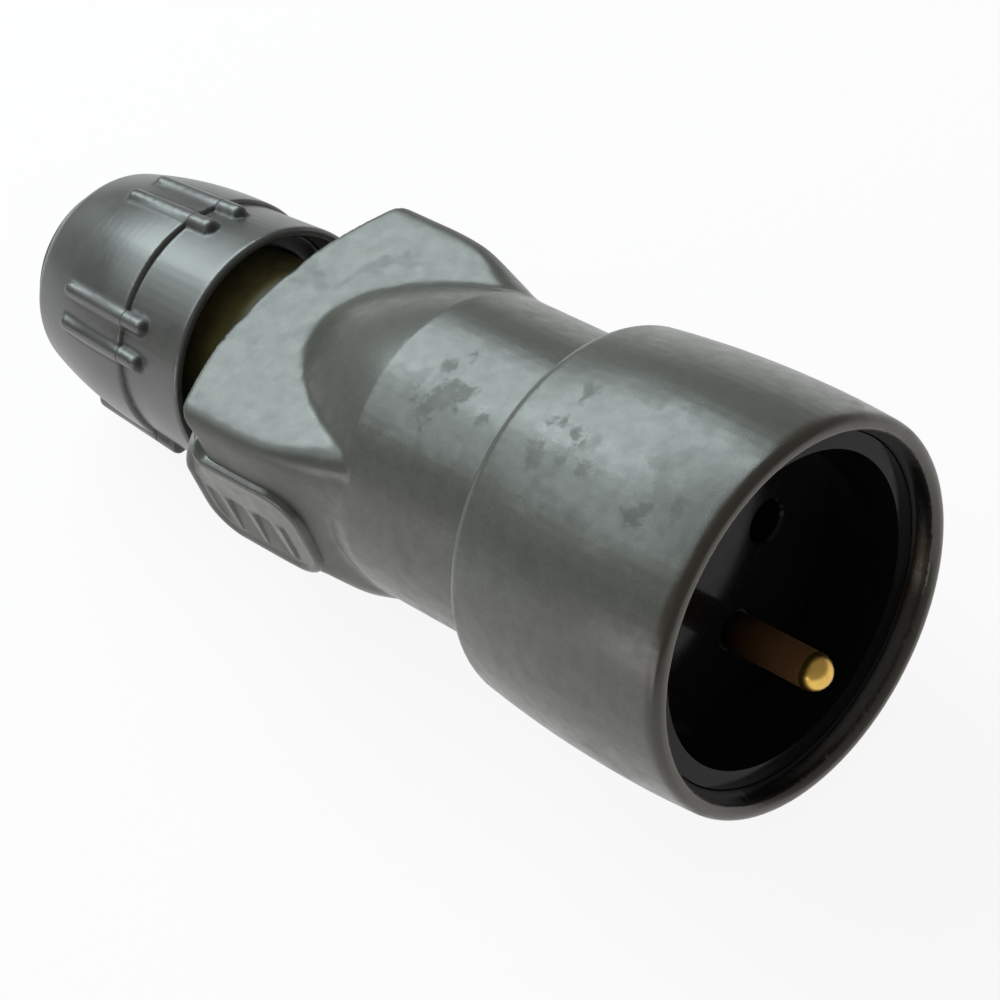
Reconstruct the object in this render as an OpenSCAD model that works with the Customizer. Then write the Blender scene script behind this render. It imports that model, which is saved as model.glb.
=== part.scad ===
// Inline two-pole and earth socket in a moulded rubber housing, with a screwed cable gland.
// Every piece is drawn with the socket axis along +Z: z = 0 is the mouth rim, and the
// rest lies behind it at negative z. +X is the earth pin's side and +Y the left contact's.
// lay_down() then lays the finished socket on a bench, earth pin side down, mouth raised.

/* [Collar] */
// Largest diameter of the crowned collar
collar_d = 51.4; // [46:0.2:60]
// Length of the collar along the axis
collar_len = 35.4; // [30:0.2:44]
// Distance from the rim to the largest diameter
crown_z = 13; // [6:0.5:18]
// Radius of the shallow crowning arc
crown_r = 165; // [140:5:400]
// Fillet on the outer edge of the rim
rim_fillet = 1.3; // [0.6:0.1:2]
// Fillet on the collar's rear shoulder
shoulder_fillet = 2; // [1:0.1:3]
// Depth of the open entry in front of the insert
entry_depth = 4; // [2:0.2:6]

/* [Neck] */
// Diameter of the neck behind the collar
neck_d = 41; // [38:0.2:48]
// Length of the straight neck, from the collar to its sloping end
neck_len = 22; // [16:0.5:30]
// Length of the sloping end, down to the grip flats
slope_len = 20; // [16:0.5:26]
// Angle at which the slope starts
slope_start = 10; // [6:0.5:14]
// Rubber wall of the neck and its slope
neck_wall = 3; // [2:0.1:3.4]

/* [Grip block] */
// Width of the grip block
block_w = 42.4; // [40:0.2:50]
// Height between the two grip flats
block_h = 27; // [26:0.2:32]
// Corner radius of the block's section
block_corner = 4.2; // [3:0.2:8]
// Plain length from the end of the slope to the rear face
block_tail = 11; // [9:0.5:16]
// Radius of the bowed rear face, seen from above
rear_bow = 42; // [36:1:60]
// Radius of the corners between the rear face and the sides
rear_corner = 4; // [2:0.2:5]
// Radius of the long curve that runs from the neck out to the block's sides
flank_r = 50; // [40:1:70]

/* [Grip pads] */
// Length of the beaded pad on each side of the block
pad_len = 21.8; // [16:0.5:25]
// Distance from the block's rear face to the pad
pad_back = 1; // [0:0.2:4]
// Height of the pad
pad_h = 14.6; // [10:0.2:18]
// Corner radius of the pad
pad_corner = 5.2; // [3:0.2:6]
// How far the bead around the pad stands proud of the block's side
pad_proud = 1; // [0.4:0.1:1.4]
// Radius of the half-round bead around the pad
bead_r = 1.4; // [0.8:0.1:1.8]
// How deep the pad's root reaches into the block
pad_root = 10.5; // [4:0.5:12]
// Number of leaning finger ribs in a pad
rib_count = 3; // [2:1:4]
// Distance between the finger ribs
rib_pitch = 4; // [3:0.2:5]
// Radius of a finger rib
rib_r = 0.9; // [0.6:0.1:1.2]
// Lean of the finger ribs
rib_lean = 18; // [0:1:25]

/* [Contact insert] */
// Diameter of the well that takes the plug
well_d = 40; // [39:0.1:42]
// Distance from the rim to the contact face
face_depth = 15; // [14:0.2:18]
// Wall of the insert's cup
cup_wall = 2.3; // [1.6:0.1:2.6]
// Thickness of the contact face plate
face_t = 4; // [3:0.2:5]
// Length of the skirt and towers behind the face plate
skirt_len = 11; // [9:0.5:15]
// Wall of the skirt behind the face plate
skirt_wall = 1.7; // [1.2:0.1:2.4]
// Thickness of the insert's rear cover
cover_t = 3; // [2:0.2:4]
// Height of the walls between the terminals
barrier_h = 10; // [7:0.5:12]
// Thickness of the walls between the terminals
barrier_t = 1.4; // [1:0.1:2]

/* [Contacts] */
// Distance between the two line contacts
contact_pitch = 19; // [18.5:0.1:19.5]
// Diameter of the entry holes in the contact face
entry_hole_d = 5.4; // [5.2:0.1:5.8]
// Inner diameter of the contact sleeves
sleeve_bore_d = 4.7; // [4.6:0.05:4.8]
// Wall of the contact sleeves
sleeve_wall = 0.75; // [0.6:0.05:0.9]
// Thickness of the steel clips around the sleeves
clip_t = 0.45; // [0.3:0.05:0.6]
// Length of the steel clips
clip_len = 5; // [3:0.5:7]
// Diameter of the earth pin
pin_d = 4.8; // [4.6:0.05:5]
// Length of the earth pin in front of the contact face
pin_len = 14.8; // [12:0.2:15.4]
// Distance from the socket axis to the earth pin
pin_offset = 10; // [9.8:0.1:10.4]

/* [Terminals] */
// Width of a terminal block
terminal_w = 7; // [6:0.2:7.6]
// Length of a terminal block
terminal_len = 10.5; // [9:0.5:12]
// Diameter of the wire holes
wire_d = 3.4; // [2.4:0.1:3.8]
// Shank diameter of the screws
screw_d = 2.9; // [2.4:0.1:3.4]
// Head diameter of the screws
screw_head_d = 5.2; // [4.6:0.1:5.6]
// Head height of the screws
screw_head_h = 1.5; // [1.2:0.1:2]

/* [Cable gland] */
// Thread diameter of the gland spigot
thread_d = 25; // [24:0.5:26]
// Bore of the gland spigot
spigot_bore_d = 18; // [16:0.2:19]
// Length of the spigot's thread behind the block
thread_len = 13.5; // [11:0.5:17]
// Length of the spigot's root inside the block
root_len = 14; // [10:0.5:16]
// Largest cable that passes the seal
cable_d = 11; // [8:0.2:13]
// Length of the clamping fingers
finger_len = 8; // [6:0.5:10]
// Number of clamping fingers
finger_count = 8; // [6:1:10]
// Gap that the loosened nut leaves behind the block
nut_gap = 4.3; // [0.5:0.1:6]
// Diameter of the nut's rim
nut_rim_d = 34.6; // [33:0.2:38]
// Diameter of the nut where the skirt meets the dome
nut_waist_d = 33.4; // [32:0.2:36]
// Largest diameter of the nut's dome
nut_dome_d = 34.6; // [33:0.2:37]
// Length of the nut's skirt
nut_skirt_len = 11.8; // [9:0.2:14]
// Length of the nut's dome
nut_dome_len = 20; // [18:0.2:24]
// Radius of the dome's long curve
nut_dome_r = 76; // [60:1:120]
// Diameter of the lip around the cable exit
nut_lip_d = 24.4; // [22:0.2:26]
// Edge radius of the dome's rear end
nut_end_r = 3; // [2:0.1:5]
// Number of rib pairs around the nut
nut_pairs = 5; // [4:1:6]
// Angle between the two ribs of a pair
nut_pair_angle = 16.6; // [12:0.2:20]
// Angle of the first pair around the axis
nut_clock = 72; // [0:1:72]
// Radius of a half-round rib
nut_rib_r = 1.3; // [0.8:0.1:1.6]

/* [Fits] */
// Clearance between rubber and a hard piece inside it
rubber_fit = 0.1; // [0.05:0.01:0.2]
// Clearance between hard pieces
hard_fit = 0.05; // [0.03:0.01:0.1]

/* [Hidden] */
$fn = 96;
over = 0.5; // how far a cut runs past the face it opens

// Colours
rubber_grey = "#54575a";
insert_black = "#1d1c1d";
nut_grey = "#4b4d50";
gland_olive = "#34331f";
seal_black = "#222222";
brass = "#b8893a";
pin_brass = "#d0a24a";
steel = "#9aa0a4";

// Stations along the axis
collar_z = -collar_len;
slope_z = collar_z - neck_len;
flat_z = slope_z - slope_len;
rear_z = flat_z - block_tail;
insert_z = -face_depth - face_t;
skirt_z = insert_z - skirt_len;
cover_z = skirt_z - cover_t;
terminal_z = cover_z - terminal_len;
thread_z = rear_z - thread_len;
finger_z = thread_z - 2;
tip_z = finger_z - finger_len;
nut_z = rear_z - nut_gap;
waist_z = nut_z - nut_skirt_len;
dome_z = waist_z - nut_dome_len;
lip_z = dome_z - 3.9;

// Radii
neck_r = neck_d / 2;
insert_r = well_d / 2 + cup_wall;
seat_r = insert_r + rubber_fit;
room_r = neck_r - neck_wall;
skirt_r = room_r - rubber_fit;
root_r = block_h / 2 - 2.7;
thread_r = thread_d / 2;
spigot_bore_r = spigot_bore_d / 2;
sleeve_r = sleeve_bore_d / 2 + sleeve_wall;
clip_r = sleeve_r + hard_fit + clip_t;
tower_bore_r = clip_r + 0.2;
tower_r = tower_bore_r + 1.1;
contact_y = contact_pitch / 2;
post_at = [-11, 6];
post_r = 2.4;
head_r = screw_head_d / 2;
shank_r = screw_d / 2;
bead_z = insert_z + 2;
pin_shoulder_r = pin_d / 2 + 0.3;
pin_flange_r = pin_d / 2 + 1.2;
pin_boss_r = pin_flange_r + 1;
tail_r = pin_d / 2 - 0.4;
window_r = sleeve_r + hard_fit;
grommet_r = spigot_bore_r - rubber_fit;
nut_wall = 1.4;
nut_mouth = 6;
pin_z = pin_len - face_depth;
pin_tip_r = pin_d / 2;
pin_tail_z = cover_z - 4;
pin_shoulder_z = -face_depth - 0.1; // the shoulder ends just behind the contact face
screw_z = terminal_z + 3.4;
sleeve_z = insert_z - 0.3; // front end of the contact sleeves
clip_z = insert_z - 2.5;
sleeve_slot_len = skirt_len - 2;
sleeve_slot_w = 0.8;
nut_cone_z = thread_z - 6.5;
nut_floor_z = tip_z - 6;
exit_r = nut_lip_d / 2 - 4.8;

// The slope at the neck's end is one arc that steepens from slope_start to slope_stop
flat_drop = neck_r - block_h / 2;
slope_chord = atan2(flat_drop, slope_len);
slope_stop = 2 * slope_chord - slope_start;
slope_r = slope_len / (sin(slope_stop) - sin(slope_start));

// Plan of the grip block: bowed rear, rounded rear corners, straight sides, long flanks
side_y = block_w / 2;
bow_z = rear_z + rear_bow;
bow_angle = asin((side_y - rear_corner) / (rear_bow - rear_corner));
corner_at = bow_z - (rear_bow - rear_corner) * cos(bow_angle);
flank_z = flat_z + 2.4;
pad_z = rear_z + pad_back + pad_len / 2;
pad_y = side_y + pad_proud - bead_r;

// Ribs of the gland nut run from the skirt, ahead of the waist, back over the dome
nut_rib_front = [nut_dome_d / 2 - 0.75, waist_z + 3.4];
nut_rib_rear = [nut_dome_d / 2 - 1.65, waist_z - 12];
nut_rib_angles = [for (i = [0 : nut_pairs - 1], s = [-1, 1])
    (nut_clock + i * 360 / nut_pairs + s * nut_pair_angle / 2) % 360];
nearest_rib = min([for (a = nut_rib_angles) abs(a - 270)]);

// Rest on a bench: a straight line under the socket touches the collar's crown and the nut,
// either on its dome or on the rear end of its lowest rib
crown_c = [collar_d / 2 - crown_r, -crown_z];
dome_c = [nut_dome_d / 2 - nut_dome_r, waist_z];
low_rib_c = [nut_rib_rear[0] * cos(nearest_rib), nut_rib_rear[1]];
lie = min(lie_on(dome_c, nut_dome_r), lie_on(low_rib_c, nut_rib_r));
axis_rise = crown_r + crown_c[0] * cos(lie) - crown_c[1] * sin(lie);
front_x = crown_at(-rim_fillet) * sin(lie);
back_x = lip_z * cos(lie) - nut_lip_d / 2 * sin(lie);

function lie_on(c, r) = let (run = crown_c - c)
    asin((crown_r - r) / norm(run)) + atan2(run[0], run[1]);

function crown_at(z) = crown_c[0] + sqrt(crown_r * crown_r - pow(z - crown_c[1], 2));

function arc(c, r, from, to, n = 10) =
    [for (i = [0 : n]) let (a = from + (to - from) * i / n) [c[0] + r * cos(a), c[1] + r * sin(a)]];

function inner(points) = [for (i = [1 : len(points) - 2]) points[i]];

module lay_down()
    translate([-(front_x + back_x) / 2, 0, axis_rise])
        rotate([0, 90 - lie, 0])
            children();

module tube(r_out, r_in, from, to)
    translate([0, 0, to])
        difference() {
            cylinder(r = r_out, h = from - to);
            translate([0, 0, -over])
                cylinder(r = r_in, h = from - to + 2 * over);
        }

module rod(r, from, to)
    translate([0, 0, to])
        cylinder(r = r, h = from - to);

// A round plate standing along +X, with rounded edges
module edged_plate(r, h, f)
    rotate([0, 90, 0])
        rotate_extrude() {
            translate([0, -h / 2]) square([r - f, h]);
            translate([0, f - h / 2]) square([r, h - 2 * f]);
            for (y = [f - h / 2, h / 2 - f])
                translate([r - f, y]) circle(r = f, $fn = 32);
        }

module rounded_bar(w, h, r) {
    square([w - 2 * r, h], center = true);
    square([w, h - 2 * r], center = true);
    for (x = [r - w / 2, w / 2 - r], y = [r - h / 2, h / 2 - r])
        translate([x, y]) circle(r = r);
}

// Rubber housing: collar, neck and grip block moulded in one piece
module housing()
    color(rubber_grey)
        lay_down()
            difference() {
                union() {
                    rotate_extrude() housing_outline();
                    grip_block();
                    rod(root_r + 2.6, slope_z, rear_z);
                    grip_pads();
                }
                rotate_extrude() housing_room();
            }

module housing_outline() {
    rim_r = crown_at(-rim_fillet);
    end_z = collar_z + shoulder_fillet;
    end_r = crown_at(end_z);
    polygon(concat(
        [[0, 0]],
        arc([rim_r - rim_fillet, -rim_fillet], rim_fillet, 90, 0, 8),
        arc(crown_c, crown_r, asin((crown_z - rim_fillet) / crown_r), asin((end_z + crown_z) / crown_r), 16),
        arc([end_r - shoulder_fillet, end_z], shoulder_fillet, 0, -90, 8),
        arc([neck_r + 1, collar_z - 1], 1, 90, 180, 5),
        arc([neck_r - slope_r * cos(slope_start), slope_z + slope_r * sin(slope_start)],
            slope_r, -slope_start, -slope_stop, 12),
        [[0, flat_z]]));
}

// Everything that the rubber leaves open: the entry, the insert's seat, the wiring room
// that follows the neck's slope, and the seat of the gland spigot's barbed root
module housing_room() {
    polygon(concat(
        [[0, over], [seat_r + 0.5 + over, over], [seat_r, -0.5]],
        [[seat_r, bead_z + 1], [seat_r + 0.6, bead_z + 0.3], [seat_r + 0.6, bead_z - 0.3],
         [seat_r, bead_z - 1], [seat_r, insert_z], [room_r, insert_z]],
        arc([neck_r - slope_r * cos(slope_start), slope_z + slope_r * sin(slope_start)],
            slope_r - neck_wall, -slope_start, -slope_stop, 12),
        [[root_r + rubber_fit, flat_z + 1], [root_r + rubber_fit, rear_z - over], [0, rear_z - over]]));
    for (z = barb_stations())
        translate([0, z])
            polygon([[0, 1], [root_r + rubber_fit, 1], [root_r + rubber_fit + 0.6, -1],
                     [root_r + rubber_fit, -1.2], [0, -1.2]]);
}

function barb_stations() = [rear_z + root_len * 0.35, rear_z + root_len * 0.7];

// Block between two grip flats: full width at the rear, then two long flanks to the neck
module grip_block() {
    intersection() {
        translate([0, 0, rear_z - 1])
            linear_extrude(flank_z - rear_z + 1)
                rounded_bar(block_h, block_w, block_corner);
        rotate([0, -90, 0])
            linear_extrude(block_h + 1, center = true)
                rear_plan();
    }
    intersection() {
        flanks();
        translate([-block_h, -block_w, flank_z - over])
            cube([2 * block_h, 2 * block_w, slope_z + 12 - flank_z]);
    }
}

// Rear of the block seen from above: bowed rear face, rounded corners, straight sides
module rear_plan()
    polygon(concat(
        arc([corner_at, side_y - rear_corner], rear_corner, 90, 180 - bow_angle, 8),
        inner(arc([bow_z, 0], rear_bow, 180 - bow_angle, 180 + bow_angle, 24)),
        arc([corner_at, rear_corner - side_y], rear_corner, 180 + bow_angle, 270, 8),
        [[flank_z + over, -side_y], [flank_z + over, side_y]]));

module flanks()
    intersection() {
        translate([0, side_y - flank_r, flank_z]) edged_plate(flank_r, block_h, block_corner);
        translate([0, flank_r - side_y, flank_z]) edged_plate(flank_r, block_h, block_corner);
    }

// Beaded pad with leaning finger ribs on each side of the block, out to the rear face
module grip_pads()
    for (s = [0, 1])
        mirror([0, s, 0]) {
            straight_h = pad_h - 2 * pad_corner;
            straight_l = pad_len - 2 * pad_corner;
            path_r = pad_corner - bead_r;
            difference() {
                translate([0, 0, pad_z])
                    rotate([-90, 0, 0])
                        linear_extrude(pad_y)
                            rounded_bar(pad_h - bead_r, pad_len - bead_r, pad_corner - bead_r / 2);
                translate([-pad_h, 0, rear_z - 1]) cube([2 * pad_h, side_y - pad_root, pad_len + 2]);
            }
            translate([0, pad_y, pad_z]) {
                for (x = [-1, 1]) {
                    translate([x * (pad_h / 2 - bead_r), 0, -straight_l / 2])
                        cylinder(r = bead_r, h = straight_l, $fn = 48);
                    translate([-straight_h / 2, 0, x * (pad_len / 2 - bead_r)])
                        rotate([0, 90, 0]) cylinder(r = bead_r, h = straight_h, $fn = 48);
                    for (z = [-1, 1])
                        translate([x * straight_h / 2, 0, z * straight_l / 2])
                            rotate([90, 0, 0])
                                rotate(x > 0 ? (z > 0 ? 0 : 270) : (z > 0 ? 90 : 180))
                                    rotate_extrude(angle = 90)
                                        translate([path_r, 0]) circle(r = bead_r, $fn = 48);
                }
                for (i = [1 : rib_count])
                    translate([0, -0.3, (i - (rib_count + 1) / 2) * rib_pitch - 1])
                        rotate([0, 90 - rib_lean, 0])
                            cylinder(r = rib_r, h = pad_h - 2 * bead_r, center = true, $fn = 32);
            }
        }

// Hard cup whose floor is the contact face, with a skirt and contact towers behind it
module socket_insert()
    color(insert_black)
        lay_down()
            difference() {
                union() {
                    tube(insert_r, well_d / 2, -entry_depth, -face_depth);
                    rod(insert_r, -face_depth, insert_z);
                    translate([0, 0, bead_z]) insert_bead();
                    tube(skirt_r, skirt_r - skirt_wall, insert_z, skirt_z);
                    for (s = [-1, 1]) {
                        translate([0, s * contact_y, 0]) rod(tower_r, insert_z, skirt_z);
                        translate([post_at[0], s * post_at[1], 0]) rod(post_r, insert_z, skirt_z);
                    }
                    translate([pin_offset, 0, 0]) rod(pin_boss_r, insert_z, skirt_z);
                }
                for (s = [-1, 1]) {
                    translate([0, s * contact_y, 0]) {
                        rod(entry_hole_d / 2, -face_depth + over, insert_z - over);
                        rod(tower_bore_r, insert_z, skirt_z - over);
                        translate([0, 0, -face_depth])
                            cylinder(r1 = entry_hole_d / 2, r2 = entry_hole_d / 2 + 0.7, h = 0.7, center = true);
                    }
                    translate([post_at[0], s * post_at[1], 0])
                        rod(shank_r + hard_fit, insert_z - 3, skirt_z - over);
                }
                translate([pin_offset, 0, 0]) {
                    rod(pin_shoulder_r + hard_fit, -face_depth + over, insert_z - over);
                    rod(pin_flange_r + hard_fit, insert_z, skirt_z - over);
                }
            }

// Bead around the cup that snaps into the rubber's groove
module insert_bead()
    rotate_extrude()
        polygon([[insert_r - 1, 0.8], [insert_r, 0.8], [insert_r + 0.5, 0.2],
                 [insert_r + 0.5, -0.2], [insert_r, -0.8], [insert_r - 1, -0.8]]);

// Rear cover that closes the towers, with walls that keep the terminals apart
module insert_cover()
    color(insert_black)
        lay_down()
            difference() {
                union() {
                    rod(skirt_r, skirt_z, cover_z);
                    for (a = [0, 135, 225])
                        rotate(a)
                            translate([-skirt_r + 1.2, -barrier_t / 2, cover_z - barrier_h])
                                cube([skirt_r - 1.2, barrier_t, barrier_h + over]);
                }
                for (s = [-1, 1]) {
                    translate([0, s * contact_y, 0]) rod(window_r, skirt_z + over, cover_z - over);
                    translate([post_at[0], s * post_at[1], 0]) {
                        rod(shank_r + hard_fit, skirt_z + over, cover_z - over);
                        rod(head_r + 0.2, cover_z + screw_head_h, cover_z - barrier_h - over);
                    }
                }
                translate([pin_offset, 0, 0]) rod(tail_r + hard_fit, skirt_z + over, cover_z - over);
            }

// Slotted cheese-head screw, drawn along +Z with the seat of its head at z = 0
module screw(shank_len) {
    difference() {
        cylinder(r = head_r, h = screw_head_h);
        translate([-head_r - over, -0.4, screw_head_h - 0.8])
            cube([2 * head_r + 2 * over, 0.8, 0.8 + over]);
    }
    translate([0, 0, -shank_len]) cylinder(r = shank_r, h = shank_len);
}

module cover_screw(side)
    color(steel)
        lay_down()
            translate([post_at[0], side * post_at[1], cover_z + screw_head_h])
                rotate([180, 0, 0])
                    screw(cover_t - screw_head_h + skirt_len - 3);

// Split sleeve that grips a plug pin, in one piece with its pillar terminal
module line_contact(side)
    color(brass)
        lay_down()
            difference() {
                translate([0, side * contact_y, 0])
                    difference() {
                        union() {
                            rod(sleeve_r, sleeve_z, cover_z);
                            terminal_block();
                        }
                        rod(sleeve_bore_d / 2, insert_z + over, skirt_z + 1);
                        translate([-sleeve_r - over, -sleeve_slot_w / 2, insert_z - sleeve_slot_len])
                            cube([2 * (sleeve_r + over), sleeve_slot_w, sleeve_slot_len + over]);
                        wire_hole();
                    }
                translate([0, side * contact_y, 0]) screw_hole(side * 90);
            }

// Terminal block behind the cover, centred on the axis of its contact
module terminal_block()
    translate([-terminal_w / 2, -terminal_w / 2, terminal_z])
        cube([terminal_w, terminal_w, terminal_len]);

module wire_hole()
    rod(wire_d / 2, cover_z - 2, terminal_z - over);

// Screw hole from the terminal's outer face into the wire hole, towards angle a
module screw_hole(a)
    rotate(a)
        translate([0, 0, screw_z])
            rotate([0, 90, 0])
                cylinder(r = shank_r + hard_fit, h = terminal_w / 2 + over);

// Steel spring clip that presses the split sleeve together
module contact_clip(side)
    color(steel)
        lay_down()
            translate([0, side * contact_y, clip_z])
                difference() {
                    tube(clip_r, sleeve_r + hard_fit, 0, -clip_len);
                    translate([0, -0.7, -clip_len - over])
                        cube([2 * clip_r, 1.4, clip_len + 2 * over]);
                }

// Solid earth pin with a domed tip, a flange behind the face plate and a tail to its terminal
module earth_pin()
    color(pin_brass)
        lay_down()
            translate([pin_offset, 0, 0])
                rotate_extrude()
                    polygon(concat(
                        arc([pin_d / 2 - pin_tip_r, pin_z - pin_tip_r], pin_tip_r, 90, 0, 8),
                        [[pin_d / 2, pin_shoulder_z], [pin_shoulder_r, pin_shoulder_z],
                         [pin_shoulder_r, insert_z], [pin_flange_r, insert_z], [pin_flange_r, insert_z - 2],
                         [tail_r, insert_z - 2], [tail_r, pin_tail_z], [0, pin_tail_z], [0, pin_z]]));

module earth_terminal()
    color(brass)
        lay_down()
            translate([pin_offset, 0, 0])
                difference() {
                    terminal_block();
                    rod(tail_r + hard_fit, cover_z + over, pin_tail_z - hard_fit);
                    wire_hole();
                    screw_hole(0);
                }

// Terminal screw that points at the axis of the terminal at the given place
module terminal_screw(at, a)
    color(steel)
        lay_down()
            translate([at[0], at[1], screw_z])
                rotate(a)
                    translate([terminal_w / 2, 0, 0])
                        rotate([0, 90, 0])
                            screw(terminal_w / 2 - wire_d / 2 + 0.8);

// Spigot with a barbed root in the rubber; its neck carries the nut's thread
module gland_spigot()
    color(gland_olive)
        lay_down()
            rotate_extrude()
                difference() {
                    union() {
                        polygon(concat(
                            [[0, rear_z - over], [root_r, rear_z - over]],
                            [for (z = barb_stations(), p = [[0, -0.9], [0.5, -0.9], [0, 0.8]])
                                [root_r + p[0], z + p[1]]],
                            [[root_r, rear_z + root_len], [0, rear_z + root_len]]));
                        translate([0, thread_z]) square([thread_r, thread_len]);
                    }
                    translate([-over, thread_z - over])
                        square([spigot_bore_r + over, thread_len + root_len + 2 * over]);
                }

// Ring of fingers on the spigot's end that the nut's cone bends onto the seal
module clamp_collet()
    color(insert_black)
        lay_down()
            difference() {
                rotate_extrude()
                    polygon([[spigot_bore_r, thread_z], [thread_r - 0.5, thread_z],
                             [thread_r - 0.5, finger_z], [thread_r - 1.2, finger_z - 0.6],
                             [spigot_bore_r + 1.2, tip_z], [spigot_bore_r, tip_z]]);
                for (i = [0 : finger_count - 1])
                    rotate((i + 0.5) * 360 / finger_count)
                        translate([spigot_bore_r - 1, -0.6, tip_z - over])
                            cube([thread_r, 1.2, finger_len + over]);
            }

// Rubber seal between the fingers, reaching into the spigot
module sealing_grommet()
    color(seal_black)
        lay_down()
            rotate_extrude()
                polygon([[cable_d / 2, tip_z], [grommet_r - 0.8, tip_z], [grommet_r, tip_z + 0.8],
                         [grommet_r, thread_z + 4.2], [grommet_r - 0.8, thread_z + 5],
                         [cable_d / 2 + 0.8, thread_z + 5], [cable_d / 2, thread_z + 4.2]]);

// Thin ring that lets the nut turn on the seal without twisting it
module slip_ring()
    color(gland_olive)
        lay_down()
            tube(spigot_bore_r + 0.6, cable_d / 2 + 0.7, tip_z, tip_z - 1);

// Domed gland nut with a flared skirt, pairs of half-round ribs and a lip at the cable exit
module gland_nut()
    color(nut_grey)
        lay_down()
            difference() {
                union() {
                    rotate_extrude() nut_outline();
                    for (a = nut_rib_angles)
                        rotate(a + 90) nut_rib();
                }
                rotate_extrude() nut_room();
            }

module nut_outline() {
    rim_r = nut_rim_d / 2;
    dome_r = nut_dome_d / 2;
    stop = asin(nut_dome_len / nut_dome_r);
    end_r = dome_c[0] + nut_dome_r * cos(stop);
    polygon(concat(
        [[0, nut_z]],
        arc([rim_r - 0.5, nut_z - 0.5], 0.5, 90, 0, 5),
        [[nut_waist_d / 2, waist_z + 0.3], [nut_waist_d / 2, waist_z]],
        arc([dome_r - 0.3, waist_z - 0.3], 0.3, 90, 0, 4),
        arc(dome_c, nut_dome_r, -0.5, -stop, 14),
        arc([end_r - nut_end_r * cos(stop), dome_z + nut_end_r * sin(stop)], nut_end_r, -stop, -70, 8),
        [[nut_lip_d / 2 - 0.6, lip_z + 1.3]],
        arc([nut_lip_d / 2 - 0.6, lip_z + 0.6], 0.6, 45, -90, 6),
        [[0, lip_z]]));
}

// Inside of the nut: an open mouth, the thread, the cone over the fingers, the cable exit
module nut_room()
    polygon([[0, nut_z + over], [nut_rim_d / 2 - nut_wall + 0.4 + over, nut_z + over],
             [nut_rim_d / 2 - nut_wall, nut_z - 0.4], [nut_waist_d / 2 - nut_wall, nut_z - nut_mouth],
             [thread_r + rubber_fit, nut_z - nut_mouth], [thread_r + rubber_fit, nut_cone_z],
             [spigot_bore_r + 0.8, nut_floor_z + 3], [spigot_bore_r + 0.8, nut_floor_z],
             [exit_r, nut_floor_z], [exit_r, lip_z + 1], [exit_r + 1 + over, lip_z - over],
             [0, lip_z - over]]);

module nut_rib() {
    run = nut_rib_front - nut_rib_rear;
    for (c = [nut_rib_front, nut_rib_rear])
        translate([c[0], 0, c[1]]) sphere(r = nut_rib_r, $fn = 32);
    translate([nut_rib_rear[0], 0, nut_rib_rear[1]])
        rotate([0, atan2(run[0], run[1]), 0])
            cylinder(r = nut_rib_r, h = norm(run), $fn = 32);
}

housing();
socket_insert();
insert_cover();
cover_screw(1);  // cover_screw_left
cover_screw(-1);  // cover_screw_right
line_contact(1);  // contact_line
line_contact(-1);  // contact_neutral
contact_clip(1);  // contact_clip_line
contact_clip(-1);  // contact_clip_neutral
earth_pin();
earth_terminal();
terminal_screw([0, contact_y], 90);  // terminal_screw_line
terminal_screw([0, -contact_y], -90);  // terminal_screw_neutral
terminal_screw([pin_offset, 0], 0);  // terminal_screw_earth
gland_spigot();
clamp_collet();
sealing_grommet();
slip_ring();
gland_nut();
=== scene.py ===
import math

import bpy
import numpy as np
from bpy.props import FloatProperty, FloatVectorProperty, IntProperty, PointerProperty
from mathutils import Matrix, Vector


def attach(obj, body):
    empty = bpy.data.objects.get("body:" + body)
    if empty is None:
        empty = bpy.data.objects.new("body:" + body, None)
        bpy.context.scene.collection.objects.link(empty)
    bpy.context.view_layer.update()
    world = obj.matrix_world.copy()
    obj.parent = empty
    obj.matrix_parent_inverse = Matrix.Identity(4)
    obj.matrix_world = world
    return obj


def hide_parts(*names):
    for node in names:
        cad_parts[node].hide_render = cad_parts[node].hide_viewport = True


bl_info = {
    "name": "Industrial Inline Socket",
    "version": (1, 0, 0),
    "blender": (4, 5, 0),
    "location": "3D View > Sidebar > Socket",
    "description": "Finishes a rubber inline socket on its packed frame: skins, plastics, brass and stage",
    "category": "Object",
}

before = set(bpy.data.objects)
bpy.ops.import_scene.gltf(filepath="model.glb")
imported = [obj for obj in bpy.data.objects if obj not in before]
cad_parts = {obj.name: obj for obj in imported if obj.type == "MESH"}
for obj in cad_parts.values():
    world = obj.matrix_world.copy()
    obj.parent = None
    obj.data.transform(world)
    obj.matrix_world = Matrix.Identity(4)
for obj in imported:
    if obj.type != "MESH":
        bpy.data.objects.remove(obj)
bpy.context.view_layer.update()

# The socket lies on its collar and its nut, so its axis leans a little to the bench.
# Axis coordinates are (across, side, along): across points to the earth pin, side to the
# left contact, along to the mouth, and the mouth's rim is at 0.
LIE = math.radians(5.34837)
MOUTH = Vector((0.0633106, 0.0, 0.0275182))
ALONG = Vector((math.cos(LIE), 0.0, math.sin(LIE)))
ACROSS = Vector((math.sin(LIE), 0.0, -math.cos(LIE)))
SIDE = Vector((0.0, 1.0, 0.0))
TO_AXES = np.stack([ACROSS, SIDE, ALONG], 1)
FROM_AXES = np.stack([ACROSS, SIDE, ALONG])

MM = 0.001

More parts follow.
